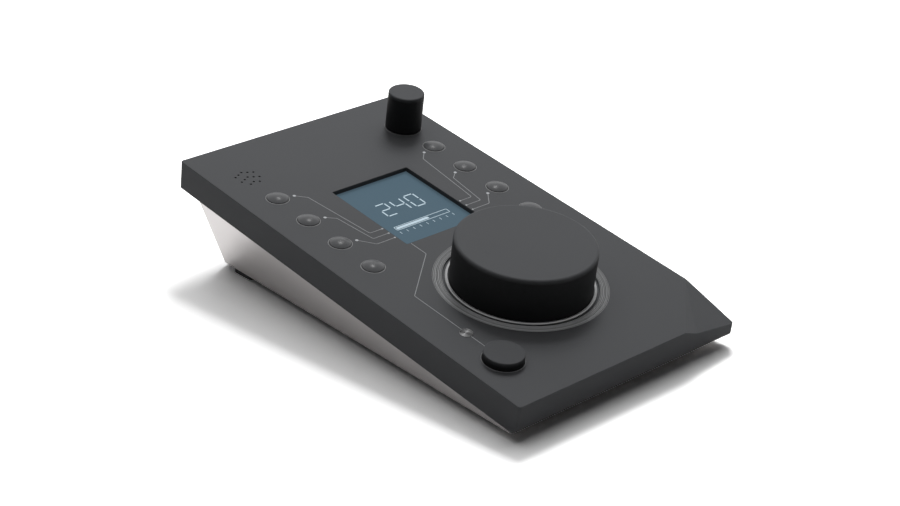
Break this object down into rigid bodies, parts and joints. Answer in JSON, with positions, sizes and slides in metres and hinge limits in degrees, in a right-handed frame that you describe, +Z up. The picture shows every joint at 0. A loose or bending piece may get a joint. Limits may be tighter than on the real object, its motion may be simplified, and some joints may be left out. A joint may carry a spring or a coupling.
{
  "type": "desktop monitor controller remote",
  "caption": "Wedge-shaped desktop remote for a studio monitor controller: sloping panel with a large volume knob, select knob, push buttons and sunken display on a leaning metal base.",
  "frame": {"origin": "on the desk, under the middle of the whole outline", "axes": "+X right, +Y to the back (the panel rises that way), +Z up; the buttons and knobs face up and forward"},
  "size_m": [0.14, 0.2494, 0.0748],
  "materials": {
    "panel_finish": "fine bead-blasted dark grey anodising",
    "shell_silver": "fine horizontal brushing",
    "knob_finish": "dark grey anodising, satin",
    "button_finish": "dark grey anodising, satin",
    "bright_trim": "turned and polished",
    "screen": "clear glass over a lit blue-grey display",
    "rubber": "matt black",
    "circuit": "green laminate",
    "steel": "plain plated steel",
    "brass": "plain turned brass",
    "black_plastic": "moulded black plastic",
    "black_screw": "blackened steel",
    "cable_grey": "grey ribbon cable",
    "lamp_lens": "milky lens"
  },
  "bodies": {
    "case": {"top_panel": "panel_finish", "base_shell": "shell_silver", "bottom_plate": "steel", "foot_front_left": "rubber", "foot_front_right": "rubber", "foot_back_left": "rubber", "foot_back_right": "rubber", "rear_pillars": "brass", "bottom_screws": "steel", "main_board": "circuit", "board_screws": "steel", "rear_board": "circuit", "rear_spacers": "brass", "rear_board_screws": "steel", "network_jack": "steel", "cable_headers": "black_plastic", "flat_cable": "cable_grey", "display_gasket": "rubber", "display_glass": "screen", "display_case": "steel", "display_support": "black_plastic", "groove_ring": "panel_finish", "knob_bezel": "bright_trim", "volume_encoder": "steel", "volume_nut": "brass", "select_bezel": "bright_trim", "select_encoder": "steel", "select_nut": "brass", "button_bezels": "bright_trim", "key_switches": "black_plastic", "talk_bezel": "bright_trim", "talk_switch": "black_plastic", "indicator_disc": "bright_trim", "indicator_lamp": "lamp_lens", "mic_boot": "rubber", "mic_capsule": "steel"},
    "volume": {"volume_knob": "knob_finish", "volume_insert": "brass", "volume_shaft": "steel", "volume_grub_screw": "black_screw"},
    "select_push": {"select_plunger": "black_plastic"},
    "select": {"select_knob": "knob_finish", "select_shaft": "steel", "select_grub_screw": "black_screw"},
    "talk": {"talk_button": "knob_finish"},
    "button_left_1": {"button_left_1": "button_finish"},
    "button_left_2": {"button_left_2": "button_finish"},
    "button_left_3": {"button_left_3": "button_finish"},
    "button_left_4": {"button_left_4": "button_finish"},
    "button_right_1": {"button_right_1": "button_finish"},
    "button_right_2": {"button_right_2": "button_finish"},
    "button_right_3": {"button_right_3": "button_finish"},
    "button_right_4": {"button_right_4": "button_finish"}
  },
  "joints": [
    {"name": "volume_turn", "type": "hinge", "parent": "case", "child": "volume", "pos_m": [0, -0.05177, 0.03041], "axis": [0, -0.153, 0.9882], "continuous": true},
    {"name": "select_press", "type": "slide", "parent": "case", "child": "select_push", "axis": [0, 0.153, -0.9882], "range_m": [0, 0.0005], "stiffness_N_per_m": 2500, "springref_m": -0.0008},
    {"name": "select_turn", "type": "hinge", "parent": "select_push", "child": "select", "pos_m": [0.0508, 0.09212, 0.05269], "axis": [0, -0.153, 0.9882], "continuous": true},
    {"name": "talk_press", "type": "slide", "parent": "case", "child": "talk", "axis": [0, 0.153, -0.9882], "range_m": [0, 0.001], "stiffness_N_per_m": 900, "springref_m": -0.0008},
    {"name": "button_left_1_press", "type": "slide", "parent": "case", "child": "button_left_1", "axis": [0, 0.153, -0.9882], "range_m": [0, 0.0008], "stiffness_N_per_m": 900, "springref_m": -0.0008},
    {"name": "button_left_2_press", "type": "slide", "parent": "case", "child": "button_left_2", "axis": [0, 0.153, -0.9882], "range_m": [0, 0.0008], "stiffness_N_per_m": 900, "springref_m": -0.0008},
    {"name": "button_left_3_press", "type": "slide", "parent": "case", "child": "button_left_3", "axis": [0, 0.153, -0.9882], "range_m": [0, 0.0008], "stiffness_N_per_m": 900, "springref_m": -0.0008},
    {"name": "button_left_4_press", "type": "slide", "parent": "case", "child": "button_left_4", "axis": [0, 0.153, -0.9882], "range_m": [0, 0.0008], "stiffness_N_per_m": 900, "springref_m": -0.0008},
    {"name": "button_right_1_press", "type": "slide", "parent": "case", "child": "button_right_1", "axis": [0, 0.153, -0.9882], "range_m": [0, 0.0008], "stiffness_N_per_m": 900, "springref_m": -0.0008},
    {"name": "button_right_2_press", "type": "slide", "parent": "case", "child": "button_right_2", "axis": [0, 0.153, -0.9882], "range_m": [0, 0.0008], "stiffness_N_per_m": 900, "springref_m": -0.0008},
    {"name": "button_right_3_press", "type": "slide", "parent": "case", "child": "button_right_3", "axis": [0, 0.153, -0.9882], "range_m": [0, 0.0008], "stiffness_N_per_m": 900, "springref_m": -0.0008},
    {"name": "button_right_4_press", "type": "slide", "parent": "case", "child": "button_right_4", "axis": [0, 0.153, -0.9882], "range_m": [0, 0.0008], "stiffness_N_per_m": 900, "springref_m": -0.0008}
  ]
}
